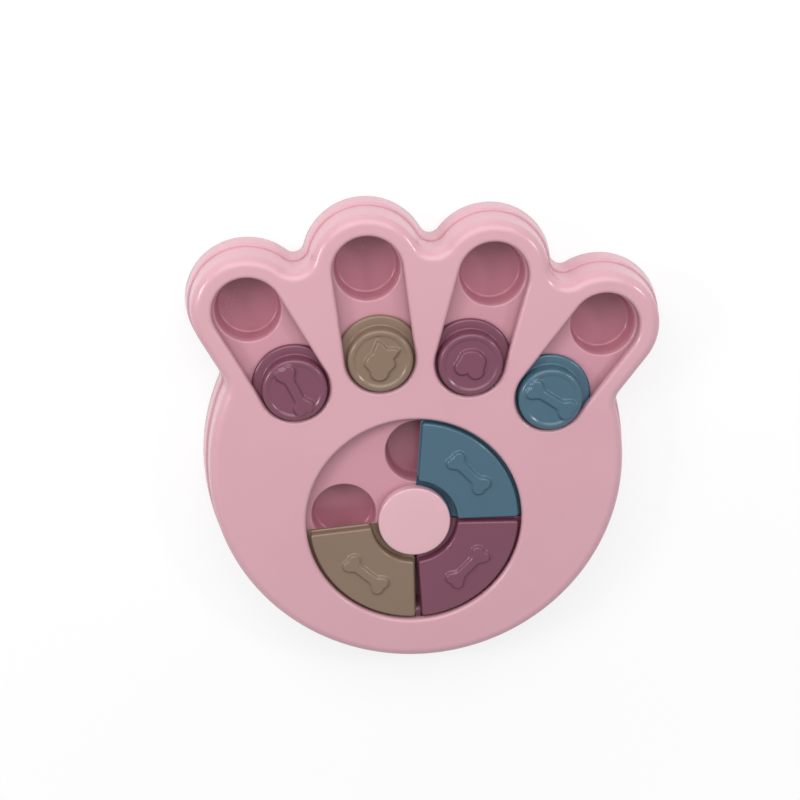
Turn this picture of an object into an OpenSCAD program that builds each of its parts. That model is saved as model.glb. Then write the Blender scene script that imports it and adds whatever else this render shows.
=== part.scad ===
// Paw-shaped puzzle feeder: a flat snack board with four captive toe sliders,
// three captive palm sliders, treat cups under them and a two-shell housing.
// Frame: +Z up, +Y towards the toes, origin under the middle of the outline, on the table.

/* [Plan of the paw] */
// Radius of the round palm opening
palm_r = 57; // [54:0.5:59]
// From the palm centre down to the point where the toe slots' axes meet
fan_drop = 30; // [28:0.5:33]
// Angle between neighbouring toe slots
toe_pitch = 22; // [21.5:0.25:23]
// From the meeting point to a toe slider at rest
slot_near_r = 121; // [119:0.5:124]
// Travel of a toe slider along its slot
slot_travel = 46.3; // [40:0.1:50]
// Half width of a toe slot
slot_r = 18; // [16.5:0.25:18.5]
// Plastic outside a toe slot, measured at the seam
toe_margin = 12.2; // [11:0.1:14]
// Radius of the heel of the paw, measured at the seam
heel_r = 110; // [107:0.5:114]
// From the palm centre up to the centre of the heel's arc
heel_rise = 29; // [27:0.5:31]
// Radius of the hollow between two toes
notch_r = 8; // [6:0.5:9]
// Radius of the hollow between an outer toe and the heel
side_notch_r = 9; // [6:0.5:12]

/* [Shells] */
// Height of the visible band of the base pan
pan_h = 11; // [9:0.5:13]
// Height of the cover above the seam
cover_h = 19; // [18:0.5:22]
// Radius of the cover's rounded shoulder
shoulder_r = 5.5; // [4.5:0.25:7]
// How far the cover's wall leans in above the seam
cover_draft = 1.5; // [0.5:0.1:2]
// How far the pan stands out of the cover at the seam
pan_step = 1.2; // [0.8:0.1:2]
// How far the pan's wall leans out towards the table
pan_draft = 1.4; // [0.5:0.1:2]
// Thickness of the cover's top plate
plate_t = 2.6; // [2:0.1:3]
// Thickness of the outer walls
wall_t = 2.4; // [2:0.1:2.8]
// Depth of the lip round each opening, from the top face
lip_h = 4.6; // [4:0.1:5]
// Thickness of the lip round each opening
lip_t = 2; // [1.5:0.1:2.2]
// Thickness of the pan's floor
pan_floor_t = 2.4; // [2:0.1:3]
// Height of the pan's register inside the cover's wall
register_h = 3; // [2:0.1:4]
// Thickness of the register
register_t = 1.4; // [1.2:0.1:2]

/* [Treat tray] */
// Thickness of the tray's deck
deck_t = 2.2; // [1.8:0.1:2.6]
// Depth of every treat cup
cup_depth = 12; // [9:0.5:13]
// How far a cup's wall leans in towards its floor
cup_taper = 1; // [0.5:0.1:3]
// Radius between a cup's wall and its floor
cup_round = 1.6; // [1:0.2:5]
// Thickness of a cup's wall and floor
cup_wall = 1.6; // [1.2:0.1:2]
// How much smaller a toe cup is than its slot, all round
toe_cup_inset = 1.2; // [0.8:0.1:2]
// Radius of a palm cup
palm_cup_r = 17; // [15:0.25:17.25]
// Radius of the ring of palm cups
palm_cup_ring = 37; // [36.5:0.25:38]

/* [Sliders] */
// Thickness of the flange that holds a slider under the cover
flange_t = 2.6; // [2:0.1:3]
// How far a toe slider's flange reaches under the cover
toe_lap = 4; // [3:0.1:4.4]
// Play between a toe slider's knob and its slot
knob_gap = 1.4; // [0.8:0.1:2]
// Height of a toe slider's knob above the cover
knob_rise = 3; // [1.5:0.25:5]
// Radius of the rounded edges of the sliders
edge_r = 1.2; // [0.6:0.1:1.4]
// Height of the raised figures
figure_h = 1.2; // [0.5:0.1:1.5]
// Angle that one palm slider covers
sector_span = 85.6; // [80:0.2:86]
// Play between a palm slider and the rim of the opening
sector_gap = 1.5; // [0.8:0.1:3.5]
// How far a palm slider's flange reaches under the cover
sector_lap = 3.4; // [2.5:0.1:4]
// How far a palm slider's top lies below the cover
sector_sink = 0.3; // [0:0.1:1]
// Wall of the hollow palm sliders
sector_wall = 2; // [1.5:0.1:2.5]

/* [Hub] */
// Radius of the round cap in the middle of the palm
hub_r = 19; // [18:0.25:19.5]
// Radius of the post under the cap
hub_post_r = 15; // [12:0.5:16]
// Radius of the cap's spigot
spigot_r = 4; // [3:0.25:5]
// Thickness of a palm slider's tongue, which runs under the cap
tongue_t = 1.4; // [1:0.1:2]
// From the hub's post to the tongue's tip
tongue_gap = 0.8; // [0.5:0.1:1.2]
// From the hub cap to a palm slider's raised body
bore_gap = 3.6; // [2.6:0.1:4.2]

/* [Fixings] */
// Running clearance between sliding faces
slide_gap = 0.3; // [0.2:0.05:0.4]
// Clearance between parts that are screwed together
fit_gap = 0.3; // [0.2:0.05:0.5]
// Radius of the screws
screw_r = 1.5; // [1.25:0.05:1.75]
// Radius of the screw heads
head_r = 2.8; // [2.5:0.1:3]
// Height of the screw heads
head_h = 2; // [1.5:0.1:2.4]
// Radius of the screw posts
post_r = 4.6; // [4.4:0.1:5]
// Depth of plastic that a screw head clamps
clamp_t = 5; // [3:0.5:6]
// Distance from the heel's edge to its screws and feet
post_inset = 16; // [14:0.5:20]
// Radius of the rubber feet
foot_r = 7; // [5:0.5:8]
// How far the rubber feet stand below the pan
foot_h = 1; // [0.6:0.1:2]
// Depth of the feet's seats in the pan
foot_seat = 0.8; // [0.5:0.1:1.2]

/* [Hidden] */
$fn = 64;
eps = 0.01;
mauve = [0.52, 0.35, 0.40];
beige = [0.55, 0.48, 0.42];
teal = [0.31, 0.42, 0.49];
pink = [0.86, 0.66, 0.70];
deep_pink = [0.80, 0.58, 0.63];

// Heights, from the table up
pan_z = foot_h;
pan_floor_z = pan_z + pan_floor_t;
seam_z = pan_z + pan_h;
top_z = seam_z + cover_h;
plate_z = top_z - plate_t;
lip_z = top_z - lip_h;
flange_top_z = lip_z - slide_gap;
flange_z = flange_top_z - flange_t;
deck_z = flange_z - slide_gap;
deck_low_z = deck_z - deck_t;
cup_floor_z = deck_z - cup_depth;
knob_z = top_z + knob_rise;
sector_z = top_z - sector_sink;
hub_post_z = flange_z + tongue_t + slide_gap;
hub_tip_z = top_z - 3;
head_z = deck_low_z - clamp_t;
screw_tip_z = plate_z - 1;
shoulder_z = top_z - shoulder_r;

// Plan, worked out from the palm centre
toe_count = 4;
toe_r = slot_near_r + slot_travel;
cap_r = slot_r + toe_margin;
pan_flare = pan_step + pan_draft;
tip_reach = toe_r * cos(toe_pitch / 2) - fan_drop + cap_r + pan_flare;
heel_reach = heel_r + pan_flare - heel_rise;
palm = [0, (heel_reach - tip_reach) / 2];
fan = palm - [0, fan_drop];
heel = palm + [0, heel_rise];
toe_angles = [for (i = [0 : toe_count - 1]) (i - (toe_count - 1) / 2) * toe_pitch];
outer_angle = toe_angles[toe_count - 1];

function heading(a) = [sin(a), cos(a)];
function on_fan(a, r) = fan + r * heading(a);
function around(centre, r, a) = centre + r * [cos(a), sin(a)];

// Hollow between two toes: a circle that touches both toe caps from outside
notch_half = toe_r * sin(toe_pitch / 2);
notch_rise = sqrt(pow(cap_r + notch_r, 2) - pow(notch_half, 2));
notch_reach = toe_r * cos(toe_pitch / 2) + notch_rise;
notch_lean = atan2(notch_half, notch_rise);

// Hollow beside an outer toe: a circle that touches the toe's straight side and the heel
side_offset = cap_r + side_notch_r;
heel_up = fan_drop + heel_rise;
side_half = heel_up * cos(outer_angle);
side_rest = pow(side_offset, 2) + 2 * side_offset * heel_up * sin(outer_angle)
    + pow(heel_up, 2) - pow(heel_r + side_notch_r, 2);
side_along = side_half + sqrt(pow(side_half, 2) - side_rest);
side_centre = on_fan(outer_angle, side_along) + side_offset * [cos(outer_angle), -sin(outer_angle)];
side_touch = atan2(side_centre[1] - heel[1], side_centre[0]);

// The outline as arcs: centre, radius, start, end, bulge (1 out, -1 in), whether a straight follows
function toe_arc(i) = [
    on_fan(toe_angles[i], toe_r), cap_r,
    i == toe_count - 1 ? -outer_angle : 90 - toe_angles[i] - toe_pitch / 2 - notch_lean,
    i == 0 ? 180 + outer_angle : 90 - toe_angles[i] + toe_pitch / 2 + notch_lean,
    1, i == 0];
function notch_arc(i) = let (a = toe_angles[i] - toe_pitch / 2) [
    on_fan(a, notch_reach), notch_r, 270 - a + notch_lean, 270 - a - notch_lean, -1, false];
arcs = concat(
    [[heel, heel_r, 180 - side_touch, 360 + side_touch, 1, false]],
    [[side_centre, side_notch_r, 180 + side_touch, 180 - outer_angle, -1, true]],
    [for (i = [toe_count - 1 : -1 : 0]) each i > 0 ? [toe_arc(i), notch_arc(i)] : [toe_arc(i)]],
    [[[-side_centre[0], side_centre[1]], side_notch_r, outer_angle, -side_touch, -1, false]]);
function arc_steps(arc) = ceil(abs(arc[3] - arc[2]) * (18 + 0.34 * arc[1]) / 360);
function arc_points(arc, grow) = let (n = arc_steps(arc)) [
    for (i = [0 : arc[5] ? n : n - 1])
        around(arc[0], arc[1] + arc[4] * grow, arc[2] + (arc[3] - arc[2]) * i / n)];
function outline(grow) = [for (arc = arcs) each arc_points(arc, grow)];

// Shell walls from below upwards, each as [height, growth of the outline]
shoulder_steps = 4;
cover_wall = concat(
    [[seam_z, 0]],
    [for (k = [0 : shoulder_steps]) let (a = 90 * k / shoulder_steps)
        [shoulder_z + shoulder_r * sin(a), -cover_draft - shoulder_r * (1 - cos(a))]]);
cover_hollow = [
    [seam_z - 1, -wall_t],
    [plate_z, -wall_t - cover_draft - 1]];
pan_bevel = 0.6;
pan_wall = [
    [pan_z, pan_flare - pan_bevel],
    [pan_z + pan_bevel, pan_flare],
    [seam_z - pan_bevel, pan_step],
    [seam_z, pan_step - pan_bevel]];
register_out = -wall_t - fit_gap - (cover_draft + 1) * (register_h + 1) / (plate_z - seam_z + 1);
register_in = register_out - register_t;
register_wall = [[seam_z - 1, register_out], [seam_z + register_h, register_out]];
pan_hollow = [
    [pan_floor_z, pan_flare - wall_t],
    [seam_z - 2 * wall_t, pan_step - wall_t],
    [seam_z - wall_t / 2, register_in],
    [seam_z + register_h + 1, register_in]];
deck_inset = wall_t + cover_draft + 1 + fit_gap;

// Slider sizes that follow the openings
knob_r = slot_r - knob_gap;
toe_flange_r = slot_r + toe_lap;
toe_cup_r = slot_r - toe_cup_inset;
sector_in = hub_r + bore_gap;
sector_out = palm_r - sector_gap;
sector_low_in = hub_post_r + tongue_gap;
sector_low_out = palm_r + sector_lap;
sector_mid = (sector_in + sector_out) / 2;
palm_cup_angles = [0, 90, 180, 270];

// Where each palm slider starts, counter-clockwise from +X
sector_slit = 1.2;
sector_slack = 2.6;
teal_start = 4.2;
mauve_start = teal_start - sector_slit - sector_span;
beige_start = mauve_start - sector_slack - sector_span;

// Screws: one between each two toes and two on each side of the heel
post_back = 9;
post_angles = [-5, 185, 215, 325];
heel_ring = heel_r - post_inset;
posts = concat(
    [for (i = [1 : toe_count - 1]) on_fan(toe_angles[i] - toe_pitch / 2, toe_r - post_back)],
    [for (a = post_angles) around(heel, heel_ring, a)]);
foot_angles = [245, 295];
feet = concat(
    [for (a = toe_angles) on_fan(a, toe_r - foot_r)],
    [for (a = foot_angles) around(heel, heel_ring, a)]);

// Solid inside a wall that follows the outline; floor and roof are fans from the toes' meeting point
module paw(wall) {
    loops = [for (step = wall) [for (p = outline(step[1])) [p[0], p[1], step[0]]]];
    n = len(loops[0]);
    last = len(wall) - 1;
    sides = [for (k = [0 : last - 1]) for (i = [0 : n - 1]) let (j = (i + 1) % n)
        [k * n + i, (k + 1) * n + i, (k + 1) * n + j, k * n + j]];
    hubs = [concat(fan, wall[0][0]), concat(fan, wall[last][0])];
    floor_faces = [for (i = [0 : n - 1]) [i, (i + 1) % n, (last + 1) * n]];
    roof_faces = [for (i = [0 : n - 1]) [last * n + (i + 1) % n, last * n + i, (last + 1) * n + 1]];
    polyhedron(concat([for (loop = loops) each loop], hubs), concat(sides, floor_faces, roof_faces));
}

// Straight slot with round ends, along a toe's axis
module slot(i, r, z0, z1) {
    translate(concat(fan, z0)) rotate(-toe_angles[i]) translate([0, slot_near_r, 0]) {
        translate([-r, 0, 0]) cube([2 * r, slot_travel, z1 - z0]);
        rotate(180) rotate_extrude(angle = 180) square([r, z1 - z0]);
        translate([0, slot_travel, 0]) rotate_extrude(angle = 180) square([r, z1 - z0]);
    }
}

module at(p, z) {
    translate([p[0], p[1], z]) children();
}

module each_post(z) {
    for (p = posts) at(p, z) children();
}

module top_cover() {
    color(pink) difference() {
        union() {
            difference() {
                paw(cover_wall);
                paw(cover_hollow);
            }
            for (i = [0 : toe_count - 1]) slot(i, slot_r + lip_t, lip_z, plate_z + eps);
            at(palm, lip_z) cylinder(r = palm_r + lip_t, h = lip_h - plate_t + eps);
            each_post(deck_z) cylinder(r = post_r, h = plate_z - deck_z + eps);
        }
        for (i = [0 : toe_count - 1]) slot(i, slot_r, lip_z - 1, top_z + 1);
        at(palm, lip_z - 1) cylinder(r = palm_r, h = lip_h + 2, $fn = 128);
        each_post(deck_z - 1) cylinder(r = screw_r + slide_gap / 4, h = screw_tip_z - deck_z + 1.5);
    }
}

// Half profile of a cup, grown by its wall for the outside
module cup_profile(r, grow) {
    low_r = r - cup_taper + grow;
    low_z = cup_floor_z - grow;
    round_r = cup_round + grow;
    polygon(concat(
        [[0, low_z]],
        [for (k = [0 : 6]) let (a = -90 + 15 * k)
            [low_r - round_r + round_r * cos(a), low_z + round_r + round_r * sin(a)]],
        [[r + grow, deck_z], [0, deck_z]]));
}

module each_cup(grow) {
    for (a = toe_angles) at(on_fan(a, toe_r), 0) rotate_extrude() cup_profile(toe_cup_r, grow);
    for (a = palm_cup_angles)
        at(around(palm, palm_cup_ring, a), 0) rotate_extrude() cup_profile(palm_cup_r, grow);
}

module treat_tray() {
    color(deep_pink) difference() {
        union() {
            at([0, 0], deck_low_z) linear_extrude(deck_t) polygon(outline(-deck_inset));
            each_cup(cup_wall);
            at(palm, deck_low_z) cylinder(r = hub_post_r, h = hub_post_z - deck_low_z);
        }
        each_cup(0);
        for (a = toe_angles) at(on_fan(a, toe_r), deck_z - eps) cylinder(r = toe_cup_r, h = 1);
        for (a = palm_cup_angles)
            at(around(palm, palm_cup_ring, a), deck_z - eps) cylinder(r = palm_cup_r, h = 1);
        at(palm, deck_low_z - 1) cylinder(r = spigot_r + slide_gap / 4, h = hub_post_z - deck_low_z + 2);
        each_post(deck_low_z - 1) cylinder(r = screw_r + fit_gap, h = deck_t + 2);
    }
}

module base_pan() {
    color(pink) difference() {
        union() {
            difference() {
                union() {
                    paw(pan_wall);
                    paw(register_wall);
                }
                paw(pan_hollow);
            }
            each_post(pan_z + eps) cylinder(r = post_r, h = deck_low_z - pan_z - eps);
        }
        each_post(pan_z - 1) cylinder(r = head_r + fit_gap, h = head_z - pan_z + 1);
        each_post(pan_z) cylinder(r = screw_r + fit_gap, h = deck_low_z);
        for (p = feet) at(p, pan_z - 1) cylinder(r = foot_r + slide_gap / 4, h = foot_seat + 1);
    }
}

module hub_cap() {
    color(pink) difference() {
        union() {
            at(palm, 0) rotate_extrude($fn = 96) rounded_top(hub_r, hub_post_z, top_z, edge_r);
            at(palm, deck_low_z) cylinder(r = spigot_r, h = hub_post_z - deck_low_z + 1);
        }
        at(palm, deck_low_z - 1) cylinder(r = screw_r + slide_gap / 4, h = hub_tip_z - deck_low_z + 1.5);
    }
}

// Half profile of a disc whose upper edge is rounded
module rounded_top(r, z0, z1, edge) {
    polygon(concat(
        [[0, z0], [r, z0]],
        [for (k = [0 : 4]) let (a = 22.5 * k)
            [r - edge + edge * cos(a), z1 - edge + edge * sin(a)]],
        [[0, z1]]));
}

// A pan-head screw, pointing up, whose head seats at the given height
module screw(seat_z, tip_z) {
    difference() {
        translate([0, 0, seat_z - head_h]) cylinder(r = head_r, h = head_h);
        for (turn = [0, 90]) rotate(turn)
            translate([-head_r * 0.6, -0.4, seat_z - head_h - 1]) cube([head_r * 1.2, 0.8, 1.9]);
    }
    translate([0, 0, seat_z - eps]) cylinder(r = screw_r, h = tip_z - seat_z + eps);
}

module hub_screw() {
    color("silver") at(palm, 0) screw(deck_low_z, hub_tip_z);
}

module case_screws() {
    color("silver") each_post(0) screw(head_z, screw_tip_z);
}

// Bar between two circles, its sides a hair inside their common tangents
module taper(p, rp, q, rq) {
    way = q - p;
    head = atan2(way[1], way[0]);
    lean = acos((rp - rq) / norm(way));
    translate(p) circle(r = rp);
    translate(q) circle(r = rq);
    polygon([around(p, 0.98 * rp, head + lean), around(q, 0.98 * rq, head + lean),
        around(q, 0.98 * rq, head - lean), around(p, 0.98 * rp, head - lean)]);
}

// Raised figures, lying along +Y
module bone(length, lobe_r) {
    square([1.75 * lobe_r, length - 2 * lobe_r], center = true);
    for (end = [-1, 1]) for (side = [-1, 1])
        translate([side * 0.94 * lobe_r, end * (length / 2 - lobe_r)]) circle(r = lobe_r);
}

module heart(width) {
    translate([0, 0.2 * width]) circle(r = 0.31 * width);
    for (side = [-1, 1])
        taper(width * [0.23 * side, -0.165], 0.266 * width, width * [0.155 * side, 0.167], 0.32 * width);
}

module carrot(length) {
    taper([0.01 * length, -0.1 * length], 0.34 * length, [0.04 * length, -0.245 * length], 0.21 * length);
    crown = [[-0.17, 0.11], [-0.22, 0.18], [-0.21, 0.28], [-0.19, 0.45], [-0.04, 0.395], [0.065, 0.32],
        [0.225, 0.365], [0.355, 0.35], [0.31, 0.21], [0.26, 0.11], [0.22, 0.08]];
    polygon(length * crown);
}

toe_bone_length = 26.5;
palm_bone_length = 26;
bone_lobe_r = 2.75;
heart_width = 15.6;
carrot_length = 23;

module figure(name) {
    linear_extrude(figure_h + edge_r) {
        if (name == "toe bone") bone(toe_bone_length, bone_lobe_r);
        if (name == "palm bone") bone(palm_bone_length, bone_lobe_r);
        if (name == "heart") heart(heart_width);
        if (name == "carrot") carrot(carrot_length);
    }
}

// Round slider of a toe slot, with its figure turned away from the slot's axis
module toe_slider(i, tint, name, turn) {
    color(tint) at(on_fan(toe_angles[i], slot_near_r), 0) {
        rotate_extrude($fn = 96) union() {
            rounded_top(toe_flange_r, flange_z, flange_top_z, edge_r);
            rounded_top(knob_r, flange_z, knob_z, edge_r);
        }
        translate([0, 0, knob_z - edge_r]) rotate(turn - toe_angles[i]) figure(name);
    }
}

module bone_slider_left() { toe_slider(0, mauve, "toe bone", -3); }
module carrot_slider() { toe_slider(1, beige, "carrot", -22); }
module heart_slider() { toe_slider(2, mauve, "heart", -5); }
module bone_slider_right() { toe_slider(3, teal, "toe bone", 93); }

// Half profile of a palm slider: a flange outside, a thin tongue inside, a raised body between them
module sector_profile() {
    translate([sector_mid, flange_z]) square([sector_low_out - sector_mid, flange_t]);
    translate([sector_low_in, flange_z]) square([sector_mid - sector_low_in, tongue_t]);
    polygon(concat(
        [[sector_in, flange_z], [sector_out, flange_z]],
        [for (k = [0 : 3]) let (a = 30 * k)
            [sector_out - edge_r + edge_r * cos(a), sector_z - edge_r + edge_r * sin(a)]],
        [for (k = [0 : 3]) let (a = 90 + 30 * k)
            [sector_in + edge_r + edge_r * cos(a), sector_z - edge_r + edge_r * sin(a)]]));
}

module palm_slider(start, tint) {
    wall_angle = atan2(sector_wall, sector_in) * 1.2;
    color(tint) at(palm, 0) difference() {
        union() {
            rotate(start) rotate_extrude(angle = sector_span, $fn = 128) sector_profile();
            rotate(start + sector_span / 2) translate([sector_mid, 0, sector_z - edge_r]) figure("palm bone");
        }
        rotate(start + wall_angle) rotate_extrude(angle = sector_span - 2 * wall_angle, $fn = 128)
            translate([sector_in + sector_wall, flange_z - 1])
                square([sector_out - sector_in - 2 * sector_wall, sector_z - sector_wall - flange_z + 1]);
    }
}

module palm_slider_teal() { palm_slider(teal_start, teal); }
module palm_slider_mauve() { palm_slider(mauve_start, mauve); }
module palm_slider_beige() { palm_slider(beige_start, beige); }

module foot(k) {
    color("white") at(feet[k], 0) rotate_extrude() mirror([0, 1]) translate([0, -foot_h - foot_seat])
        rounded_top(foot_r, 0, foot_h + foot_seat, 0.5);
}

top_cover();
treat_tray();
base_pan();
hub_cap();
hub_screw();
case_screws();
bone_slider_left();
carrot_slider();
heart_slider();
bone_slider_right();
palm_slider_teal();
palm_slider_mauve();
palm_slider_beige();
foot(0);  // foot_toe_1
foot(1);  // foot_toe_2
foot(2);  // foot_toe_3
foot(3);  // foot_toe_4
foot(4);  // foot_heel_left
foot(5);  // foot_heel_right
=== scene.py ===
# %% [markdown]
# # A paw-shaped puzzle feeder
# The board is two glossy moulded shells with captive sliders between them. The solids and the joints
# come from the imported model, and the lengths here repeat those of its source, in millimetres. This
# lesson gives every visible piece its real rounded edges and its moulded finish, then lights it and
# looks at it from the photograph's viewpoint.

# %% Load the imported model
import math

import bpy
import numpy as np
from mathutils import Matrix
from mathutils.geometry import delaunay_2d_cdt


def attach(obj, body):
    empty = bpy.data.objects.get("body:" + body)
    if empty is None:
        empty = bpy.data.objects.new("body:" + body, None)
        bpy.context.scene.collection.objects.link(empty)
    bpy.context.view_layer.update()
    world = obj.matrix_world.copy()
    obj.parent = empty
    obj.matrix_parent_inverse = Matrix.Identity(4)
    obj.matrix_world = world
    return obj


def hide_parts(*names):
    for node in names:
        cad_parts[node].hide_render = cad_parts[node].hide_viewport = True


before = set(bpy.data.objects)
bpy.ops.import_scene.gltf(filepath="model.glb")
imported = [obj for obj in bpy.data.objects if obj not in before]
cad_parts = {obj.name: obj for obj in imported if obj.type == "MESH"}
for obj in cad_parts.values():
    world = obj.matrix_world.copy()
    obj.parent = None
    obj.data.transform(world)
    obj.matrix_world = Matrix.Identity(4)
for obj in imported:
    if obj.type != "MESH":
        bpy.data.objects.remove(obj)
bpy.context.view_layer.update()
scene = bpy.context.scene

# %% [markdown]
# ## Where the camera stands
# The picture was taken from above, with the camera on the toe side and a little to the left.
# Tilt, bearing and roll describe that viewpoint, and the lens follows from the scale of the board
# in an 800 pixel frame. Placing the camera first means every later look is judged in the same view.

# %% Camera
MM = 0.001
FRAME_PX, SENSOR_MM = 800, 36
TILT, BEARING, ROLL = math.radians(19.108), math.radians(104.816), math.radians(-3.626)
PX_PER_MM, DISTANCE = 1.89818, 865.816
PALM_PX = np.array([414.538, 522.258])
PALM_Y, TOP_Z = -41.713, 31.0


def camera_axes():
    """Rows right, up and back: back points at the viewer, up is +Y without its part along back,
    right is at right angles to both, and right and up are then turned about back by the roll."""
    level = math.sin(TILT)
    back = np.array([level * math.cos(BEARING), level * math.sin(BEARING), math.cos(TILT)])
    up = np.array([0.0, 1.0, 0.0]) - back[1] * back
    up /= np.linalg.norm(up)
    right = np.cross(up, back)
    c, s = math.cos(ROLL), math.sin(ROLL)
    return np.array([c * right - s * up, s * right + c * up, back])


def stand(obj, rows, spot):
    """Puts a camera or lamp at a spot in millimetres, its own axes along the rows right, up, back."""
    pose = np.eye(4)
    pose[:3, :3] = np.transpose(rows)
    pose[:3, 3] = np.array(spot, float) * MM
    obj.matrix_world = Matrix(pose.tolist())
    scene.collection.objects.link(obj)


axes = camera_axes()
palm_right, palm_down = (PALM_PX - FRAME_PX / 2) / PX_PER_MM
eye = np.array([0, PALM_Y, TOP_Z]) - axes.T @ np.array([palm_right, -palm_down, -DISTANCE])
lens = bpy.data.cameras.new("viewpoint")
lens.sensor_width = SENSOR_MM
lens.lens = PX_PER_MM * DISTANCE * SENSOR_MM / FRAME_PX
lens.clip_end = 20
camera = bpy.data.objects.new("viewpoint", lens)
stand(camera, axes, eye)
scene.camera = camera
print("camera at", eye.round(1), "mm, lens", round(lens.lens, 2))

# %% [markdown]
# ## The plan of the paw
# The outline is a chain of tangent arcs: the round heel, a hollow on each side, four toe caps and
# the hollows between them. Storing each point as an arc centre, a direction and a radius makes a
# parallel outline trivial: outward arcs get larger and hollows get smaller by the same amount.

# %% Outline
HALF_PITCH = 11.0
TOE_ANGLES = HALF_PITCH * np.array([-3, -1, 1, 3])
OUTER_TOE = TOE_ANGLES[-1]
NEAR_R, TOE_R, SLOT_R, CAP_R = 121.0, 167.3, 18.0, 30.2
HEEL_R, HEEL_RISE, FAN_DROP, NOTCH_R, SIDE_R = 110.0, 29.0, 30.0, 8.0, 9.0
HEEL_N, SIDE_N, CAP_N, NOTCH_N = 200, 20, 64, 32
JOIN = 0.01
FAN = np.array([0, PALM_Y - FAN_DROP])
PALM = np.array([0, PALM_Y])
HEEL = np.array([0, PALM_Y + HEEL_RISE])


def polar(r, angle):
    """Point at a radius and an angle in degrees, counted from +X towards +Y."""
    a = np.radians(angle)
    return r * np.array([np.cos(a), np.sin(a)])


def on_fan(angle, reach):
    """Point at a distance from the toes' meeting point, the angle counted from +Y towards +X."""
    a = np.radians(angle)
    return FAN + reach * np.array([np.sin(a), np.cos(a)])


def outline_arcs():
    """Arcs as centre, radius, start, end, bulge and point count, counter-clockwise from the left of
    the heel. Hollows between toes touch both caps; side hollows touch a toe's flank and the heel."""
    pitch, flank = math.radians(HALF_PITCH), math.radians(OUTER_TOE)
    half = TOE_R * math.sin(pitch)
    rise = math.sqrt((CAP_R + NOTCH_R) ** 2 - half**2)
    reach, lean = TOE_R * math.cos(pitch) + rise, math.degrees(math.atan2(half, rise))
    offset, up = CAP_R + SIDE_R, FAN_DROP + HEEL_RISE
    rest = offset**2 + 2 * offset * up * math.sin(flank) + up**2 - (HEEL_R + SIDE_R) ** 2
    along = up * math.cos(flank) + math.sqrt((up * math.cos(flank)) ** 2 - rest)
    side = on_fan(OUTER_TOE, along) + offset * np.array([math.cos(flank), -math.sin(flank)])
    touch = math.degrees(math.atan2(side[1] - HEEL[1], side[0]))
    arcs = [(HEEL, HEEL_R, 180 - touch, 360 + touch, 1, HEEL_N),
            (side, SIDE_R, 180 + touch, 180 - OUTER_TOE, -1, SIDE_N)]
    for i in (3, 2, 1, 0):
        a = TOE_ANGLES[i]
        start = -OUTER_TOE if i == 3 else 90 - a - HALF_PITCH - lean
        end = 180 + OUTER_TOE if i == 0 else 90 - a + HALF_PITCH + lean
        arcs.append((on_fan(a, TOE_R), CAP_R, start, end, 1, CAP_N))
        if i:
            inward = 270 + HALF_PITCH - a
            hollow = on_fan(a - HALF_PITCH, reach)
            arcs.append((hollow, NOTCH_R, inward + lean, inward - lean, -1, NOTCH_N))
    arcs.append((side * [-1, 1], SIDE_R, OUTER_TOE, -touch, -1, SIDE_N))
    return arcs


def outline_table(arcs):
    """Centres, directions, radii and bulges of all outline points. An arc that ends where the next
    one starts leaves that point to it, so no junction is doubled."""
    centres, ways, radii, bulges = [], [], [], []
    for k, (centre, r, start, end, bulge, n) in enumerate(arcs):
        onward = arcs[(k + 1) % len(arcs)]
        gap = centre + polar(r, end) - onward[0] - polar(onward[1], onward[2])
        a = np.radians(np.linspace(start, end, n, endpoint=np.abs(gap).max() > JOIN))
        centres.append(np.tile(centre, (n, 1)))
        ways.append(np.stack([np.cos(a), np.sin(a)], 1))
        radii.append(np.full(n, r))
        bulges.append(np.full(n, bulge))
    return [np.concatenate(column) for column in (centres, ways, radii, bulges)]


OUTLINE = outline_table(outline_arcs())
print("outline points:", len(OUTLINE[0]))

# %% [markdown]
# ## Profiles and loops
# Every moulding here is a profile that is carried round a closed path: the paw, a slot or a circle.
# A profile is a list of rows, each with a distance from the path and a height. Each row becomes one
# loop of points, and all loops of one profile have the same count, so neighbours are easy to join.

# %% Loops


def paw_loops(profile):
    """Loops of the outline for a wall profile of (growth, height) rows."""
    centres, ways, radii, bulges = OUTLINE
    rows = np.asarray(profile, float)
    xy = centres + ways * (radii + bulges * rows[:, 0, None])[..., None]
    z = np.broadcast_to(rows[:, 1, None, None], xy.shape[:2] + (1,))
    return np.concatenate([xy, z], 2)


def slot_loops(angle, profile, n=48):
    """Loops of a straight slot with round ends for a profile of (half width, height) rows."""
    a = np.concatenate([np.linspace(0, np.pi, n), np.linspace(np.pi, 2 * np.pi, n)])
    base = np.where(np.arange(2 * n) < n, TOE_R, NEAR_R)
    rows = np.asarray(profile, float)
    x = rows[:, 0, None] * np.cos(a)
    y = base + rows[:, 0, None] * np.sin(a)
    z = np.broadcast_to(rows[:, 1, None], x.shape)
    c, s = np.cos(np.radians(angle)), np.sin(np.radians(angle))
    return np.stack([FAN[0] + x * c + y * s, FAN[1] - x * s + y * c, z], 2)


def turned(centre, profile, n):
    """Loops of a lathe shape: each (radius, height) row of the profile becomes a circle."""
    a = np.linspace(0, 2 * np.pi, n, endpoint=False)
    rows = np.asarray(profile, float)
    x = centre[0] + rows[:, 0, None] * np.cos(a)
    y = centre[1] + rows[:, 0, None] * np.sin(a)
    return np.stack([x, y, np.broadcast_to(rows[:, 1, None], x.shape)], 2)


def bend(centre, r, start, end, n):
    """Rows of a profile along an arc, the angles in degrees counted from outward to up."""
    a = np.radians(np.linspace(start, end, n))
    return [(centre[0] + r * c, centre[1] + r * s) for c, s in zip(np.cos(a), np.sin(a))]


print("a straight wall of the paw:", paw_loops([(0, 0), (0, TOP_Z)]).shape)

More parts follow.
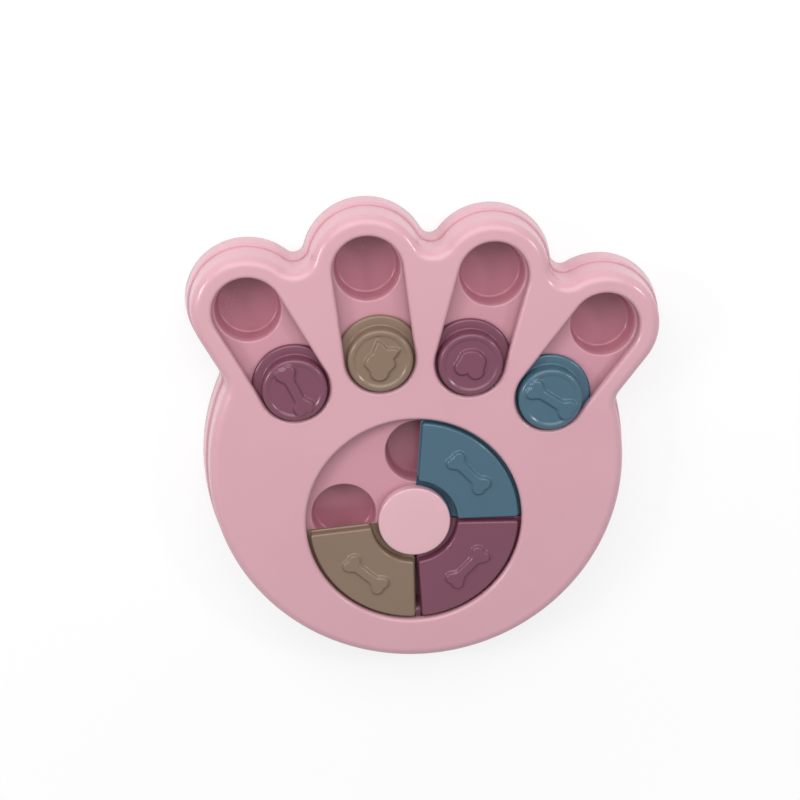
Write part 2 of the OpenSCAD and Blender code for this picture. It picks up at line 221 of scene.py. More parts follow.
# %% [markdown]
# ## One collector for all patches
# A moulded part is a closed skin of strips, where a profile runs round a loop, and of flat faces
# with holes. The collector keeps both kinds as arrays, welds points that coincide and drops
# triangles that have shrunk to a line, such as those at the middle of a disc.

# %% Skin
WELD_DECIMALS = 4
CREASE = math.radians(50)


class Skin:
    """Patches of one piece, in millimetres."""

    def __init__(self):
        self.points, self.triangles, self.count = [], [], 0

    def add(self, points, triangles):
        """Keeps a patch, its triangles counted on from the points that are already there."""
        self.points.append(np.asarray(points, float))
        self.triangles.append(np.asarray(triangles, int) + self.count)
        self.count += len(points)

    def strip(self, loops, flip=False):
        """Two triangles between each pair of neighbours on successive closed loops."""
        rows, n = loops.shape[:2]
        here = np.arange(rows - 1)[:, None] * n + np.arange(n)
        beside = np.arange(rows - 1)[:, None] * n + (np.arange(n) + 1) % n
        quads = np.stack([here, beside, beside + n, here + n], 2).reshape(-1, 4)
        triangles = np.concatenate([quads[:, [0, 1, 2]], quads[:, [0, 2, 3]]])
        self.add(loops.reshape(-1, 3), triangles[:, ::-1] if flip else triangles)

    def flat(self, outer, holes, flip=False):
        """Constrained triangulation of a level face, kept where a ray crosses the loops oddly often."""
        loops = [outer] + list(holes)
        xy = np.concatenate([loop[:, :2] for loop in loops])
        counts = [len(loop) for loop in loops]
        starts = np.cumsum([0] + counts[:-1])
        edges = np.concatenate([np.stack([s + np.arange(n), s + (np.arange(n) + 1) % n], 1)
                                for s, n in zip(starts, counts)])
        found = delaunay_2d_cdt(xy.tolist(), edges.tolist(), [], 0, 1e-6)
        spots = np.array([tuple(p) for p in found[0]])
        faces = np.array(found[2])
        middle = spots[faces].mean(1)
        a, b = xy[edges[:, 0]], xy[edges[:, 1]]
        spans = (a[:, 1] > middle[:, 1, None]) != (b[:, 1] > middle[:, 1, None])
        slope = (b - a)[:, 0] / np.where(b[:, 1] == a[:, 1], 1, (b - a)[:, 1])
        crossed = spans & (middle[:, 0, None] < a[:, 0] + (middle[:, 1, None] - a[:, 1]) * slope)
        faces = faces[crossed.sum(1) % 2 == 1]
        p, q, r = (spots[faces[:, k]] for k in range(3))
        turn = (q - p)[:, 0] * (r - p)[:, 1] - (q - p)[:, 1] * (r - p)[:, 0]
        faces = np.where((turn > 0)[:, None] != flip, faces, faces[:, ::-1])
        self.add(np.column_stack([spots, np.full(len(spots), outer[0, 2])]), faces)

    def piece(self, name, finish, body, stands_for):
        """Welds the patches into one mesh object in metres that rides on a body."""
        points, triangles = np.concatenate(self.points), np.concatenate(self.triangles)
        _, first, back = np.unique(np.round(points, WELD_DECIMALS), axis=0,
                                   return_index=True, return_inverse=True)
        triangles = back.reshape(-1)[triangles]
        triangles = triangles[(triangles != np.roll(triangles, 1, 1)).all(1)]
        mesh = bpy.data.meshes.new(name)
        mesh.vertices.add(len(first))
        mesh.vertices.foreach_set("co", (points[first] * MM).ravel())
        mesh.loops.add(triangles.size)
        mesh.loops.foreach_set("vertex_index", triangles.ravel())
        mesh.polygons.add(len(triangles))
        mesh.polygons.foreach_set("loop_start", np.arange(len(triangles)) * 3)
        mesh.update(calc_edges=True)
        mesh.validate()
        mesh.shade_smooth()
        mesh.set_sharp_from_angle(angle=CREASE)
        mesh.materials.append(finish)
        obj = bpy.data.objects.new(name, mesh)
        scene.collection.objects.link(obj)
        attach(obj, body)
        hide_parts(*stands_for)
        print(name, len(first), "points", len(triangles), "triangles")


# %% [markdown]
# ## Finishes
# The shells and sliders are injection-moulded plastic. Such a surface is glossy, but never perfectly
# even: the colour drifts a little where the melt flowed, the polish varies, and a faint orange-peel
# ripple breaks up reflections. Shader sums are written as Python expressions on wrapped sockets.

# %% Shader helpers
WHITE = (1.0, 1.0, 1.0, 1.0)


def feed(socket, value):
    """Links a field to a socket, or sets a plain value on it."""
    if isinstance(value, Field):
        value.tree.links.new(value.socket, socket)
    else:
        socket.default_value = value


class Field:
    """An output socket; arithmetic on it adds Math nodes to its tree."""

    def __init__(self, tree, socket):
        self.tree, self.socket = tree, socket

    def calc(self, operation, left, right):
        """Result of one Math node on two values or fields."""
        node = self.tree.nodes.new("ShaderNodeMath")
        node.operation = operation
        for socket, value in zip(node.inputs, (left, right)):
            feed(socket, value)
        return Field(self.tree, node.outputs[0])

    def __add__(self, other):
        return self.calc("ADD", self, other)

    def __sub__(self, other):
        return self.calc("SUBTRACT", self, other)

    def __rsub__(self, other):
        return self.calc("SUBTRACT", other, self)

    def __mul__(self, other):
        return self.calc("MULTIPLY", self, other)

    __radd__, __rmul__ = __add__, __mul__


class Nodes:
    """The node tree of a material or a world, whose nodes come from one method."""

    def __init__(self, owner):
        owner.use_nodes = True
        self.tree = owner.node_tree

    def node(self, kind, settings=None, inputs=None, output=0):
        """Adds a node: settings are set first, then values or links go to its sockets."""
        node = self.tree.nodes.new(kind)
        for key, value in (settings or {}).items():
            setattr(node, key, value)
        for key, value in (inputs or {}).items():
            feed(node.inputs[key], value)
        return Field(self.tree, node.outputs[output])

    def noise(self, place, scale, detail):
        """Soft noise between 0 and 1."""
        return self.node("ShaderNodeTexNoise", {},
                         {"Vector": place, "Scale": scale, "Detail": detail}, "Fac")

    def mix(self, share, first, second):
        """Tint that goes from the first to the second as the share goes from 0 to 1."""
        return self.node("ShaderNodeMix", {"data_type": "RGBA"}, {0: share, 6: first, 7: second}, 2)

    def shown(self):
        """1 for rays that show a surface, straight, mirrored or through glass, and 0 for its light."""
        rays = [self.node("ShaderNodeLightPath", output=f"Is {kind} Ray")
                for kind in ("Camera", "Glossy", "Transmission")]
        return rays[0].calc("MAXIMUM", rays[0].calc("MAXIMUM", rays[0], rays[1]), rays[2])


class Finish(Nodes):
    """A material with one Principled shader."""

    def __init__(self, name):
        self.material = bpy.data.materials.new(name)
        super().__init__(self.material)
        self.shader = self.tree.nodes["Principled BSDF"]

    def set(self, **values):
        """Feeds the shader's sockets, each named in small letters with underscores."""
        for key, value in values.items():
            feed(self.shader.inputs[key.replace("_", " ").title()], value)


def linear(r, g, b):
    """Colour given in screen values, 0 to 255, as the linear values that a shader wants."""
    c = np.array([r, g, b]) / 255
    c = np.where(c <= 0.04045, c / 12.92, ((c + 0.055) / 1.055) ** 2.4)
    return (*c.tolist(), 1.0)


print("white paper in linear values:", linear(255, 255, 255))

# %% Moulded plastic
PLASTIC_IOR = 1.49
# Painted shade in the tray's cups: a darker tint starts just below the deck and takes over fully 5 mm
# lower.
PAINTED_SHADE_FROM, PAINTED_SHADE_WITHIN = 0.0228, 0.005


def moulded(name, light, dark, gloss, painted_shade=None):
    """Glossy plastic: two close tints mixed by a slow drift, uneven polish and a faint ripple. A painted
    shade, if given, is a deeper, darker tint that takes over within 5 mm below the tray's deck, where the
    cups lie in shade."""
    finish = Finish(name)
    place = finish.node("ShaderNodeTexCoord", output="Object")
    drift = finish.noise(place, 26.0, 3.0)
    speck = finish.noise(place, 1500.0, 1.0)
    peel = finish.noise(place, 420.0, 2.0)
    tint = finish.mix(drift * 0.8 + speck * 0.3 - 0.05, light, dark)
    # Painted shade: the tint turns deeper and darker below the deck, inside the cups.
    if painted_shade:
        height = finish.node("ShaderNodeSeparateXYZ", {}, {"Vector": place}, "Z")
        tint = finish.mix((PAINTED_SHADE_FROM - height) * (1 / PAINTED_SHADE_WITHIN), tint, painted_shade)
    ripple = finish.node("ShaderNodeBump", {}, {"Strength": 0.06, "Distance": 0.0006, "Height": peel})
    finish.set(base_color=tint, roughness=gloss + drift * 0.12 + speck * 0.05, normal=ripple)
    finish.shader.inputs["IOR"].default_value = PLASTIC_IOR
    return finish.material


PINK = moulded("pink moulding", linear(213, 164, 175), linear(205, 156, 167), 0.12)
# The hub cap's finish is a lighter copy of the pink moulding: painted light on the hub, which is the same
# plastic as the cover.
PAINTED_LIGHT_PINK = moulded("pink hub moulding with painted light", linear(223, 178, 187), linear(215, 170, 179), 0.12)
# The tray's deeper tint is painted shade in its cups, not a colour of the plastic.
ROSE = moulded("rose tray moulding with painted cup shade", linear(201, 146, 159), linear(193, 138, 151), 0.16,
               painted_shade=linear(177, 113, 129))
MAUVE = moulded("mauve moulding", linear(119, 65, 86), linear(111, 59, 79), 0.14)
BEIGE = moulded("beige moulding", linear(133, 110, 92), linear(125, 103, 85), 0.14)
TEAL = moulded("teal moulding", linear(65, 100, 118), linear(59, 93, 111), 0.14)
print("plastics:", [m.name for m in (PINK, PAINTED_LIGHT_PINK, ROSE, MAUVE, BEIGE, TEAL)])

# %% [markdown]
# ## Rubber and steel
# The feet are soft matt rubber, whose grain shows in colour and in relief. The screws underneath are
# zinc-plated, so their brightness clouds a little. Their solids are already right, so they stay as
# they are and only get this finish.

# %% Feet and screws


def rubbed(name, light, dark):
    """Matt rubber: fine grain in colour and relief."""
    finish = Finish(name)
    place = finish.node("ShaderNodeTexCoord", output="Object")
    grain = finish.noise(place, 1800.0, 3.0)
    tint = finish.mix(grain, light, dark)
    relief = finish.node("ShaderNodeBump", {}, {"Strength": 0.3, "Distance": 0.0004, "Height": grain})
    finish.set(base_color=tint, roughness=0.6 + grain * 0.25, normal=relief)
    return finish.material


def plated(name, light, dark):
    """Zinc-plated steel: bright metal with a cloudy polish."""
    finish = Finish(name)
    place = finish.node("ShaderNodeTexCoord", output="Object")
    cloud = finish.noise(place, 900.0, 4.0)
    finish.set(base_color=finish.mix(cloud, light, dark), roughness=0.24 + cloud * 0.2)
    finish.shader.inputs["Metallic"].default_value = 1.0
    return finish.material


RUBBER = rubbed("foot rubber", linear(222, 220, 214), linear(204, 202, 196))
STEEL = plated("plated steel", linear(196, 198, 202), linear(166, 168, 172))
for name in ("case_screws", "hub_screw"):
    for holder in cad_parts[name].material_slots:
        holder.material = STEEL
print("finishes:", len(bpy.data.materials))

# %% [markdown]
# ## The cover
# The upper shell leans in slightly above the seam and rolls over into the flat top with a full
# round. Each opening has a small rolled edge and a lip that goes down to the sliders' flanges.
# The skin runs from the seam over the shoulder, down through the openings and back inside.

# %% Top cover
SEAM_Z, PLATE_Z, LIP_Z = 12.0, 28.4, 26.4
PALM_R, SHOULDER, EDGE, BREAK = 57.0, 5.5, 2.0, 0.4
WALL, INSIDE, LEAN, LIP, LIP_ROUND = 2.4, 4.9, 1.5, 2.0, 0.5
# Flat strips beside a round, at which a level face takes over.
MARGIN, WIDE_MARGIN = 0.6, 0.7

cover = Skin()
rise = TOP_Z - SHOULDER - SEAM_Z - BREAK
wall = [(-WALL, SEAM_Z), (-WALL / 2, SEAM_Z)] + bend((-BREAK, SEAM_Z + BREAK), BREAK, -90, 0, 5)
wall += [(-LEAN * t, SEAM_Z + BREAK + rise * t) for t in (0.2, 0.4, 0.6, 0.8)]
wall += bend((-LEAN - SHOULDER, TOP_Z - SHOULDER), SHOULDER, 0, 90, 20)
wall_loops = paw_loops(wall + [(-LEAN - SHOULDER - WIDE_MARGIN, TOP_Z)])
cover.strip(wall_loops)


def rim(r):
    """Profile of an opening: rolled edge, wall, lip and its outside up to the plate."""
    rows = [(r + EDGE + MARGIN, TOP_Z)] + bend((r + EDGE, TOP_Z - EDGE), EDGE, 90, 180, 9)
    rows += bend((r + LIP_ROUND, LIP_Z + LIP_ROUND), LIP_ROUND, 180, 270, 5)
    return rows + [(r + LIP, LIP_Z), (r + LIP, PLATE_Z), (r + LIP + MARGIN, PLATE_Z)]


rims = [slot_loops(a, rim(SLOT_R)) for a in TOE_ANGLES] + [turned(PALM, rim(PALM_R), 320)]
for loops in rims:
    cover.strip(loops)
cover.flat(wall_loops[-1], [loops[0] for loops in rims])
inside = paw_loops([(-INSIDE - MARGIN, PLATE_Z), (-INSIDE, PLATE_Z), (-WALL, SEAM_Z)])
cover.strip(inside)
cover.flat(inside[0], [loops[-1] for loops in rims], flip=True)
cover.piece("cover_shell", PINK, "housing", ["top_cover"])

# %% [markdown]
# ## The treat tray
# The tray is what shows through the openings: a level deck with a shallow cup at each toe tip and a
# ring of cups in the palm. Each cup is a lathe profile with a rolled rim, a leaning wall and a round
# floor. A second skin, one wall thickness away, closes it from below.

# %% Treat tray
DECK_Z, DECK_LOW, DECK_IN, CUP_FLOOR = 23.2, 21.0, 5.3, 11.2
TOE_CUP_R, PALM_CUP_R, CUP_RING_R = 16.8, 17.0, 37.0
CUP_RIM, CUP_TAPER, CUP_CURVE, CUP_WALL, CUP_LEAN = 1.0, 1.0, 1.6, 1.6, 6
POST_R, POST_Z, POST_FILLET = 15.0, 25.2, 0.6


def hollow_profile(r):
    """Inside of a cup from the deck over its rim and down to the middle of the floor."""
    flat_r = r - CUP_TAPER - CUP_CURVE
    rows = [(r + CUP_RIM + WIDE_MARGIN, DECK_Z)]
    rows += bend((r + CUP_RIM, DECK_Z - CUP_RIM), CUP_RIM, 90, 180 - CUP_LEAN, 8)
    rows += bend((flat_r, CUP_FLOOR + CUP_CURVE), CUP_CURVE, -CUP_LEAN, -90, 10)
    return rows + [(flat_r * t, CUP_FLOOR) for t in (0.6, 0.3, 0)]


def bulge_profile(r):
    """Underside of a cup: the same curve, one wall further out."""
    flat_r = r - CUP_TAPER - CUP_CURVE
    rows = [(r + 1.5 * CUP_WALL, DECK_LOW), (r + CUP_WALL, DECK_LOW)]
    rows += bend((flat_r, CUP_FLOOR + CUP_CURVE), CUP_CURVE + CUP_WALL, -CUP_LEAN, -90, 10)
    return rows + [(0, CUP_FLOOR - CUP_WALL)]


cups = [(on_fan(a, TOE_R), TOE_CUP_R) for a in TOE_ANGLES]
cups += [(PALM + polar(CUP_RING_R, a), PALM_CUP_R) for a in (0, 90, 180, 270)]
hollows = [turned(spot, hollow_profile(r), 128) for spot, r in cups]
bulges = [turned(spot, bulge_profile(r), 96) for spot, r in cups]
stub = [(POST_R + 2 * POST_FILLET, DECK_Z)]
stub += bend((POST_R + POST_FILLET, DECK_Z + POST_FILLET), POST_FILLET, -90, -180, 5)
post = turned(PALM, stub + [(POST_R, POST_Z), (0, POST_Z)], 96)
deck = paw_loops([(-DECK_IN, DECK_LOW), (-DECK_IN, DECK_Z)])

tray = Skin()
for loops in hollows + [post]:
    tray.strip(loops)
for loops in bulges:
    tray.strip(loops, flip=True)
tray.strip(deck)
tray.flat(deck[1], [loops[0] for loops in hollows + [post]])
tray.flat(deck[0], [loops[0] for loops in bulges], flip=True)
tray.piece("tray_shell", ROSE, "housing", ["treat_tray"])

# %% [markdown]
# ## The base pan
# The lower shell is a little wider than the cover, so a band of it shows below the seam. Its wall
# leans out towards the table, and a register inside the seam centres the cover. Underneath are
# shallow seats for the feet and the wells that the screw heads sit in.

# %% Base pan
PAN_Z, PAN_FLOOR, FLARE, STEP, PAN_ROUND, SEAM_ROUND = 1.0, 3.4, 2.5, 1.1, 0.9, 0.7
REGISTER_OUT, REGISTER_IN, REGISTER_Z = 3.3, 4.7, 15.0
SEAT_R, SEAT_DEPTH, SEAT_EDGE = 7.07, 0.8, 7.6
WELL_R, HEAD_Z = 3.1, 16.0
SCREW_IN, FOOT_IN, HEEL_RING_R = 9.0, 7.0, 94.0

screw_spots = [on_fan(a, TOE_R - SCREW_IN) for a in (-2 * HALF_PITCH, 0, 2 * HALF_PITCH)]
screw_spots += [HEEL + polar(HEEL_RING_R, a) for a in (-5, 185, 215, 325)]
foot_spots = [on_fan(a, TOE_R - FOOT_IN) for a in TOE_ANGLES]
foot_spots += [HEEL + polar(HEEL_RING_R, a) for a in (245, 295)]

band = [(FLARE - PAN_ROUND - WIDE_MARGIN, PAN_Z)]
band += bend((FLARE - PAN_ROUND, PAN_Z + PAN_ROUND), PAN_ROUND, -90, 0, 7)
band += bend((STEP - SEAM_ROUND, SEAM_Z - SEAM_ROUND), SEAM_ROUND, 0, 90, 6)
band += [(-REGISTER_OUT, SEAM_Z), (-REGISTER_OUT, REGISTER_Z), (-REGISTER_IN, REGISTER_Z)]
band += [(-REGISTER_IN, PAN_FLOOR), (-REGISTER_IN - WIDE_MARGIN, PAN_FLOOR)]
band_loops = paw_loops(band)
seat = [(SEAT_EDGE, PAN_Z), (SEAT_R, PAN_Z), (SEAT_R, PAN_Z + SEAT_DEPTH), (0, PAN_Z + SEAT_DEPTH)]
well = [(WELL_R + MARGIN, PAN_Z)] + bend((WELL_R + BREAK, PAN_Z + BREAK), BREAK, -90, -180, 4)
well += [(WELL_R, HEAD_Z), (0, HEAD_Z)]
pockets = [turned(spot, seat, 64) for spot in foot_spots]
pockets += [turned(spot, well, 48) for spot in screw_spots]

pan = Skin()
pan.strip(band_loops)
for loops in pockets:
    pan.strip(loops, flip=True)
pan.flat(band_loops[0], [loops[0] for loops in pockets], flip=True)
pan.flat(band_loops[-1], [])
pan.piece("pan_shell", PINK, "housing", ["base_pan"])

# %% [markdown]
# ## Raised figures
# Every slider carries a small figure in low relief. Each is written as a distance field: how far a
# point lies outside the figure, negative within. Rounded bars and circles are easy to combine that
# way, and one smooth step of the distance gives a raised plateau with a soft edge.

# %% Distance fields
FIGURE_RISE, FIGURE_EDGE = 1.85, 2.0
LOBE_R, LOBE_X, SHAFT_R, SHAFT_IN, BONE_MELT = 2.75, 2.6, 2.6, 4.0, 4.0


def bar(x, y, p, q, rp, rq):
    """Distance from a round-ended bar whose radius changes evenly from p to q."""
    dx, dy = q[0] - p[0], q[1] - p[1]
    t = np.clip(((x - p[0]) * dx + (y - p[1]) * dy) / (dx * dx + dy * dy), 0, 1)
    return np.hypot(x - p[0] - t * dx, y - p[1] - t * dy) - (rp + t * (rq - rp))


def melt(a, b, k):
    """Smaller of two distances, with a fillet of size k where they are alike."""
    h = np.clip(0.5 + 0.5 * (b - a) / k, 0, 1)
    return b + (a - b) * h - k * h * (1 - h)


def polygon_field(x, y, corners):
    """Distance from a polygon: nearest edge, negative where a ray crosses its edges oddly often."""
    near, odd = np.full(x.shape, 1e9), np.zeros(x.shape, bool)
    for (ax, ay), (bx, by) in zip(corners, corners[1:] + corners[:1]):
        near = np.minimum(near, bar(x, y, (ax, ay), (bx, by), 0, 0))
        odd ^= ((ay > y) != (by > y)) & (x < ax + (y - ay) * (bx - ax) / (by - ay))
    return np.where(odd, -near, near)


def bone(x, y, length):
    """A slim shaft with two round lobes at each end, along y."""
    lobes = np.hypot(np.abs(x) - LOBE_X, np.abs(y) - (length / 2 - LOBE_R)) - LOBE_R
    end = length / 2 - SHAFT_IN
    return melt(bar(x, y, (0, -end), (0, end), SHAFT_R, SHAFT_R), lobes, BONE_MELT)


def heart(x, y):
    """A round body with two lobes and a shallow notch between them, along y."""
    body = np.hypot(x, y - 1.6) - 6.3
    return melt(body, bar(np.abs(x), y, (3.6, -2.6), (1.4, 1.2), 4.15, 6.0), 0.6)


def carrot(x, y):
    """A plump root that tapers downwards, with a crown of two leaf tips."""
    root = bar(x, y, (0.2, -2.3), (0.9, -5.6), 7.8, 4.8)
    leaves = [(-3.9, 2.5), (-4.9, 4.1), (-4.7, 6.4), (-4.2, 10.2), (-0.9, 8.9), (1.5, 7.2),
              (5.2, 8.2), (8.0, 7.9), (7.0, 4.8), (5.9, 2.5), (5.0, 1.8)]
    return melt(root, polygon_field(x, y, leaves) - 0.15, 0.5)


def raised(distance, height=FIGURE_RISE, soft=FIGURE_EDGE):
    """Smooth step from the ground to the figure's plateau across its edge."""
    t = np.clip(0.5 - distance / soft, 0, 1)
    return height * t * t * (3 - 2 * t)


print("figures rise", float(raised(np.array(-FIGURE_EDGE))), "mm")

# %% [markdown]
# ## The toe sliders
# A toe slider is a round knob on a wider flange that runs under the cover. The outside is a lathe
# profile. The top is a disc of fine rings, dished a little inside a raised rim. The figure stands in
# the dish, turned to the angle at which it sits on its knob.

# %% Toe sliders
FLANGE_Z, FLANGE_TOP, FLANGE_R, FLANGE_LOW, FLANGE_ROUND = 23.5, 26.1, 22.0, 0.6, 1.6
KNOB_Z, KNOB_R, KNOB_FILLET, KNOB_ROUND = 34.0, 16.6, 0.8, 2.0
KNOB_N, KNOB_RINGS = 288, 72
DISH, DISH_R, DISH_EDGE, FIGURE_TOP = 0.7, 14.2, 1.8, 35.15
TOE_BODIES = ["bone_slider_left", "carrot_slider", "heart_slider", "bone_slider_right"]


def knob_bone(x, y):
    """The bone at the length that fits a knob."""
    return bone(x, y, 26.5)


def toe_slider(name, i, figure, turn, finish):
    """Lathe profile of flange and knob, closed by a disc that carries the figure."""
    spot, round_r = on_fan(TOE_ANGLES[i], NEAR_R), KNOB_R - KNOB_ROUND
    side = [(0, FLANGE_Z), (FLANGE_R - 2 * FLANGE_LOW, FLANGE_Z)]
    side += bend((FLANGE_R - FLANGE_LOW, FLANGE_Z + FLANGE_LOW), FLANGE_LOW, -90, 0, 5)
    side += bend((FLANGE_R - FLANGE_ROUND, FLANGE_TOP - FLANGE_ROUND), FLANGE_ROUND, 0, 90, 9)
    side += [(KNOB_R + 2 * KNOB_FILLET, FLANGE_TOP)]
    side += bend((KNOB_R + KNOB_FILLET, FLANGE_TOP + KNOB_FILLET), KNOB_FILLET, -90, -180, 6)
    side += bend((round_r, KNOB_Z - KNOB_ROUND), KNOB_ROUND, 0, 90, 12)
    skin = Skin()
    skin.strip(turned(spot, side, KNOB_N))
    top = turned(spot, [(r, KNOB_Z) for r in np.linspace(round_r, 0, KNOB_RINGS)], KNOB_N)
    a = np.radians(turn - TOE_ANGLES[i])
    x, y = top[..., 0] - spot[0], top[..., 1] - spot[1]
    top[..., 2] -= raised(np.hypot(x, y) - DISH_R + DISH_EDGE / 2, DISH, DISH_EDGE)
    lift = raised(figure(x * np.cos(a) + y * np.sin(a), y * np.cos(a) - x * np.sin(a)))
    top[1:, :, 2] = np.minimum(top[1:, :, 2] + lift[1:], FIGURE_TOP)
    skin.strip(top)
    skin.piece(name, finish, TOE_BODIES[i], [TOE_BODIES[i]])


toe_slider("knob_bone_left", 0, knob_bone, -3, MAUVE)
toe_slider("knob_carrot", 1, carrot, -22, BEIGE)
toe_slider("knob_heart", 2, heart, -5, MAUVE)
toe_slider("knob_bone_right", 3, knob_bone, 93, TEAL)

# %% [markdown]
# ## The palm sliders
# Three quarter-ring sliders circle the hub. Their outline is a polar rectangle with small corner
# rounds. Loops of that outline climb from the flange to the top, then shrink towards an arc in the
# middle, which gives the top enough points to carry its bone.

# %% Outline of a quarter
SPAN = 85.6
ARC_N, FLANK_N, CORNER_N = 232, 88, 8


def wrapped(angle):
    """Angle brought within half a turn of zero."""
    return (angle + np.pi) % (2 * np.pi) - np.pi


def round_hub(r, a):
    """Points at a radius and an array of angles, as seen from the hub."""
    return r * np.stack([np.cos(a), np.sin(a)], 1)


def quarter_loop(r0, r1, start, inset, corner):
    """Outline between two radii and two radial sides, moved inwards, with rounded corners. Each
    corner's centre lies one corner radius inside both of its edges."""
    a0, a1 = np.radians([start, start + SPAN])
    reach = inset + corner
    parts = []
    for a, sense in ((a0, 1), (a1, -1)):
        along, inward = np.array([np.cos(a), np.sin(a)]), sense * np.array([-np.sin(a), np.cos(a)])
        rounds = []
        for r, out in ((r0 + reach, -1), (r1 - reach, 1)):
            middle = math.sqrt(r * r - reach * reach) * along + reach * inward
            radial = out * middle / r
            t = np.linspace(0, 1, CORNER_N)[:, None]
            way = (1 - t) * radial - t * inward if out < 0 else -(1 - t) * inward + t * radial
            rounds.append(middle + corner * way / np.linalg.norm(way, axis=1)[:, None])
        t = np.linspace(0, 1, FLANK_N + 2)[1:-1, None]
        flank = rounds[0][-1] * (1 - t) + rounds[1][0] * t
        parts.append(np.concatenate([rounds[0], flank, rounds[1]])[::sense])
    ends = [np.arctan2(p[1], p[0]) for p in (parts[0][-1], parts[1][0], parts[1][-1], parts[0][0])]
    t = np.linspace(0, 1, ARC_N + 2)[1:-1]
    outer = round_hub(r1 - inset, ends[0] + wrapped(ends[1] - ends[0]) * t)
    inner = round_hub(r0 + inset, ends[2] + wrapped(ends[3] - ends[2]) * t)
    return np.concatenate([parts[0], outer, parts[1], inner])


print("points round a quarter:", len(quarter_loop(20, 50, 0, 0, 1)))

# %% Palm sliders
SECTOR_Z, SECTOR_IN, SECTOR_OUT, SECTOR_EDGE = 30.7, 22.6, 55.5, 1.4
TONGUE_IN, TONGUE_TOP, TONGUE_SLOPE, FLANGE_OUT, FLANGE_BREAK = 15.8, 24.9, 2.0, 60.4, 0.4
WALL_FOOT, WALL_INSET, WALL_CORNER, TIGHT_CORNER = 0.3, 0.6, 1.6, 0.4
TOP_RINGS, CORE_LEAN, PALM_BONE = 60, 0.42, 26.0


def palm_slider(name, body, start, finish):
    """Flange loops, wall loops and a top that shrinks to a middle arc and carries a bone."""

    def level(xy, z):
        return np.column_stack([xy + PALM, np.broadcast_to(z, len(xy))])[None]

    def ledge(xy):
        ends = [SECTOR_IN, SECTOR_IN + TONGUE_SLOPE]
        return np.interp(np.hypot(*xy.T), ends, [TONGUE_TOP, FLANGE_TOP])

    def wall_loop(inset, corner):
        return quarter_loop(SECTOR_IN - WALL_FOOT, SECTOR_OUT + WALL_FOOT, start, inset, corner)

    broken = quarter_loop(TONGUE_IN, FLANGE_OUT, start, inset=0.5, corner=0.6)
    full = quarter_loop(TONGUE_IN, FLANGE_OUT, start, inset=0, corner=1.0)
    loops = [level(broken, FLANGE_Z), level(full, FLANGE_Z + FLANGE_BREAK)]
    loops += [level(full, ledge(full) - FLANGE_BREAK), level(broken, ledge(broken))]
    for inset, lift in ((0, 0), (0.4, 0.15), (WALL_INSET, 0.6)):
        xy = wall_loop(inset, WALL_CORNER)
        loops.append(level(xy, ledge(xy) + lift))
    for c, s in bend((0, 0), SECTOR_EDGE, 0, 90, 8):
        inset = WALL_INSET + SECTOR_EDGE - c
        xy = wall_loop(inset, max(WALL_CORNER + WALL_INSET - inset, TIGHT_CORNER))
        loops.append(level(xy, SECTOR_Z - SECTOR_EDGE + s))
    skin = Skin()
    skin.strip(np.concatenate(loops))
    border = loops[-1][0, :, :2] - PALM
    mid, middle_r = np.radians(start + SPAN / 2), (SECTOR_IN + SECTOR_OUT) / 2
    lean = wrapped(np.arctan2(border[:, 1], border[:, 0]) - mid)
    core = round_hub(middle_r, mid + np.clip(lean, -CORE_LEAN, CORE_LEAN))
    t = np.linspace(0, 1, TOP_RINGS)[:, None, None]
    top = border * (1 - t) + core * t
    c, s = np.cos(mid), np.sin(mid)
    x, y = top[..., 0] * c + top[..., 1] * s, top[..., 1] * c - top[..., 0] * s
    height = SECTOR_Z + raised(bone(x - middle_r, y, PALM_BONE))
    skin.strip(np.concatenate([top + PALM, height[..., None]], 2))
    skin.flat(loops[0][0], [], flip=True)
    skin.piece(name, finish, body, [body])


palm_slider("quarter_teal", "palm_slider_teal", 4.2, TEAL)
palm_slider("quarter_mauve", "palm_slider_mauve", -82.6, MAUVE)
palm_slider("quarter_beige", "palm_slider_beige", -170.8, BEIGE)

# %% [markdown]
# ## Hub and feet
# The hub cap is a plain disc with a rolled edge and a barely crowned top. The feet are soft rubber
# discs in the pan's seats. Both are lathe shapes.

# %% Hub cap and feet
HUB_R, HUB_ROUND, HUB_CROWN, CROWN_R = 19.0, 1.1, 0.02, 17.0
FOOT_R, FOOT_TOP, FOOT_ROUND = 7.0, 1.8, 0.6
FOOT_NODES = ["foot_toe_1", "foot_toe_2", "foot_toe_3", "foot_toe_4", "foot_heel_left", "foot_heel_right"]

hub = Skin()
cap = [(0, POST_Z), (HUB_R - 2 * BREAK, POST_Z)] + bend((HUB_R - BREAK, POST_Z + BREAK), BREAK, -90, 0, 4)
cap += bend((HUB_R - HUB_ROUND, TOP_Z - HUB_ROUND), HUB_ROUND, 0, 86, 9)
cap += [(r, TOP_Z - HUB_CROWN * (r / CROWN_R) ** 2) for r in (14, 9, 4, 0)]
hub.strip(turned(PALM, cap, 192))
# The hub disc wears the lighter copy of the pink moulding, which paints light onto it.
hub.piece("hub_disc", PAINTED_LIGHT_PINK, "housing", ["hub_cap"])

sole = [(0, 0), (FOOT_R - 1, 0)] + bend((FOOT_R - FOOT_ROUND, FOOT_ROUND), FOOT_ROUND, -90, 0, 6)
sole += [(FOOT_R, FOOT_TOP), (0, FOOT_TOP)]
for node, spot in zip(FOOT_NODES, foot_spots):
    pad = Skin()
    pad.strip(turned(spot, sole, 64))
    pad.piece(node + "_pad", RUBBER, "housing", [node])

# %% [markdown]
# ## Stage and light
# The board lies on white paper in soft studio light. A wide window stands half-way up on the toe
# side: it models the round edges, which show it as bright bands, and leaves the gaps on the heel side
# dark. Two small lamps add crisp glints. The camera sees the paper three quarters as plain white,
# which leaves a faint shadow round the board. Further out the paper turns into plain white, as the
# surroundings are, so no horizon shows.

# %% Paper
PAPER_M = 3
SHADE_FROM, SHADE_TO, SHADE_WHITE = 0.15, 0.45, 0.75

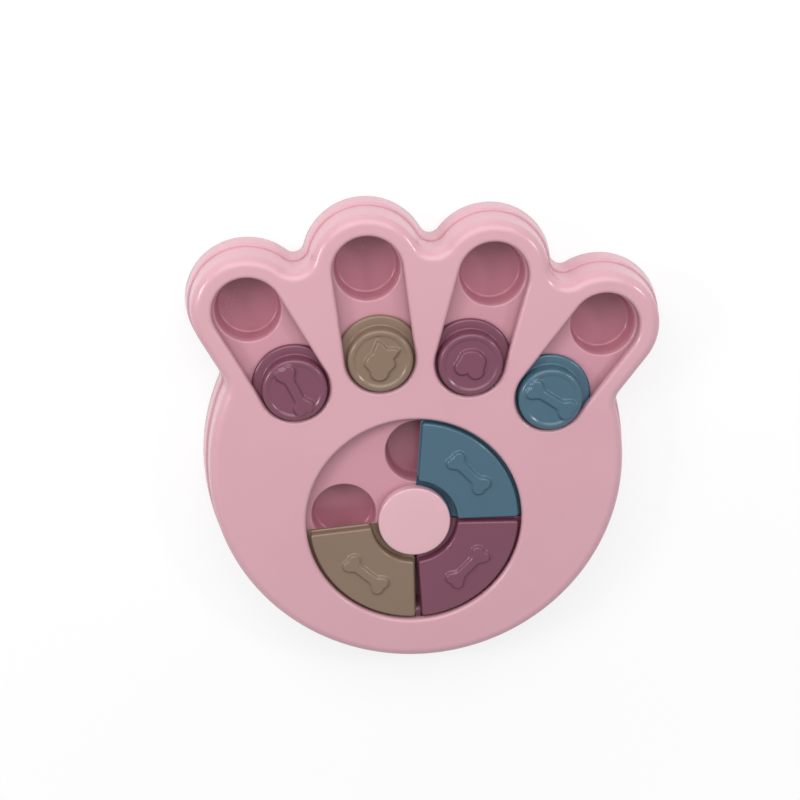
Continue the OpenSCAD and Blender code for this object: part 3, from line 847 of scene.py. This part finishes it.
floor_mesh = bpy.data.meshes.new("table")
corners = [(-PAPER_M, -PAPER_M, 0), (PAPER_M, -PAPER_M, 0), (PAPER_M, PAPER_M, 0), (-PAPER_M, PAPER_M, 0)]
floor_mesh.from_pydata(corners, [], [(0, 1, 2, 3)])
floor = bpy.data.objects.new("table", floor_mesh)
paper = Finish("white paper")
place = paper.node("ShaderNodeTexCoord", output="Object")
paper.set(base_color=WHITE, roughness=0.7 + paper.noise(place, 400.0, 2.0) * 0.1)
lit = Field(paper.tree, paper.shader.outputs[0])
glow = paper.node("ShaderNodeEmission", {}, {"Color": WHITE, "Strength": 1.0})
reach = paper.node("ShaderNodeVectorMath", {"operation": "LENGTH"}, {0: place}, "Value")
plain = paper.node("ShaderNodeMapRange", {}, {"Value": reach, "From Min": SHADE_FROM, "From Max": SHADE_TO,
                                              "To Min": SHADE_WHITE, "To Max": 1.0}, "Result")
seen = paper.node("ShaderNodeMixShader", {}, {0: paper.shown() * plain, 1: lit, 2: glow})
feed(paper.tree.nodes["Material Output"].inputs["Surface"], seen)
floor.data.materials.append(paper.material)
scene.collection.objects.link(floor)
print("paper:", 2 * PAPER_M, "m wide")

# %% Lamps and surroundings
AMBIENT = 0.34


def lamp(name, spot, width, depth, power):
    """A soft box, its size in metres, that looks from a spot in millimetres at the origin."""
    data = bpy.data.lights.new(name, "AREA")
    data.shape = "RECTANGLE"
    data.size, data.size_y, data.energy = width, depth, power
    back = np.array(spot, float)
    back /= np.linalg.norm(back)
    right = np.cross([0.0, 1.0, 0.02], back)
    right /= np.linalg.norm(right)
    stand(bpy.data.objects.new(name, data), [right, np.cross(back, right), back], spot)


lamp("wide window", (-120, 680, 793), 1.3, 0.8, 8.0)
lamp("left lamp", (-900, 150, 700), 0.3, 0.3, 3.5)
lamp("right lamp", (850, 450, 850), 0.15, 0.15, 2.4)

scene.world = bpy.data.worlds.new("studio")
air = Nodes(scene.world)
sky = air.tree.nodes["Background"]
feed(sky.inputs["Color"], WHITE)
feed(sky.inputs["Strength"], AMBIENT)
backdrop = air.node("ShaderNodeBackground", {}, {"Color": WHITE})
ambient = Field(air.tree, sky.outputs[0])
around = air.node("ShaderNodeMixShader", {}, {0: air.shown(), 1: ambient, 2: backdrop})
feed(air.tree.nodes["World Output"].inputs["Surface"], around)
scene.view_settings.view_transform = "Standard"
print("lamps:", len(bpy.data.lights))
